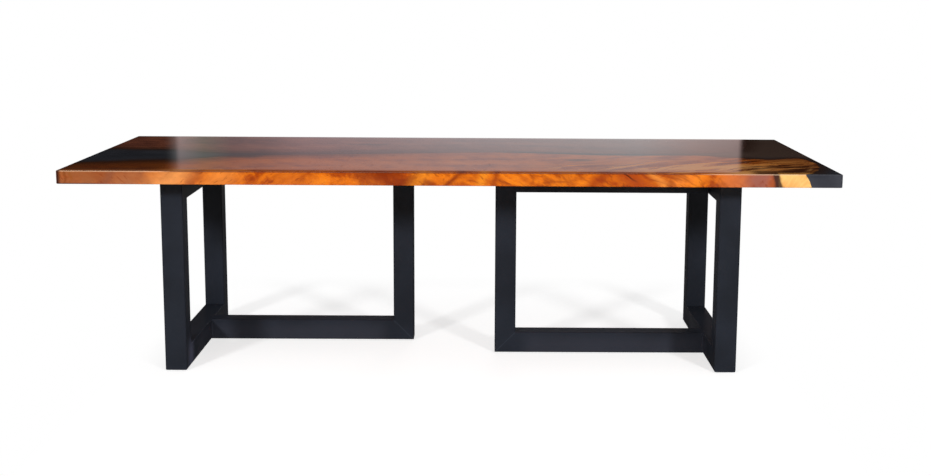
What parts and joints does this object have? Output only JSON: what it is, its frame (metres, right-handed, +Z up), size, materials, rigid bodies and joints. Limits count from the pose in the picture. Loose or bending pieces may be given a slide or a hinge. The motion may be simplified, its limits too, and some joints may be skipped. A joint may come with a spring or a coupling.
{
  "type": "dining table",
  "caption": "Long dining table: live-edge wood slabs joined by black cast resin, on two welded square-tube bases, each a closed end frame with an inner frame reaching towards the middle.",
  "frame": {"origin": "on the floor, under the middle of the tabletop", "axes": "+X along the table to the right, +Y from the front edge to the rear, +Z up"},
  "size_m": [2.743, 1.1, 0.765],
  "materials": {
    "golden_wood": "clear gloss coat over figured orange-brown wood",
    "dark_wood": "clear gloss coat over red-brown wood",
    "black_resin": "polished cast epoxy resin, black",
    "powder_coated_steel": "black satin powder coat",
    "zinc_steel": "bright zinc plate",
    "brass_insert": "plain",
    "rubber_pad": "matt"
  },
  "bodies": {
    "root": {"front_slab": "golden_wood", "rear_slab": "dark_wood", "resin_casting": "black_resin", "left_channel": "powder_coated_steel", "middle_channel": "powder_coated_steel", "right_channel": "powder_coated_steel", "channel_screws": "zinc_steel", "channel_inserts": "brass_insert", "left_near_upright": "powder_coated_steel", "left_far_upright": "powder_coated_steel", "left_floor_rail": "powder_coated_steel", "left_top_rail": "powder_coated_steel", "left_inner_floor_rail": "powder_coated_steel", "left_inner_upright": "powder_coated_steel", "left_inner_top_rail": "powder_coated_steel", "left_end_plate": "powder_coated_steel", "left_inner_plate": "powder_coated_steel", "left_weld_beads": "powder_coated_steel", "left_floor_pads": "rubber_pad", "left_base_bolts": "zinc_steel", "left_base_washers": "zinc_steel", "left_base_inserts": "brass_insert", "right_near_upright": "powder_coated_steel", "right_far_upright": "powder_coated_steel", "right_floor_rail": "powder_coated_steel", "right_top_rail": "powder_coated_steel", "right_inner_floor_rail": "powder_coated_steel", "right_inner_upright": "powder_coated_steel", "right_inner_top_rail": "powder_coated_steel", "right_end_plate": "powder_coated_steel", "right_inner_plate": "powder_coated_steel", "right_weld_beads": "powder_coated_steel", "right_floor_pads": "rubber_pad", "right_base_bolts": "zinc_steel", "right_base_washers": "zinc_steel", "right_base_inserts": "brass_insert"}
  },
  "joints": []
}
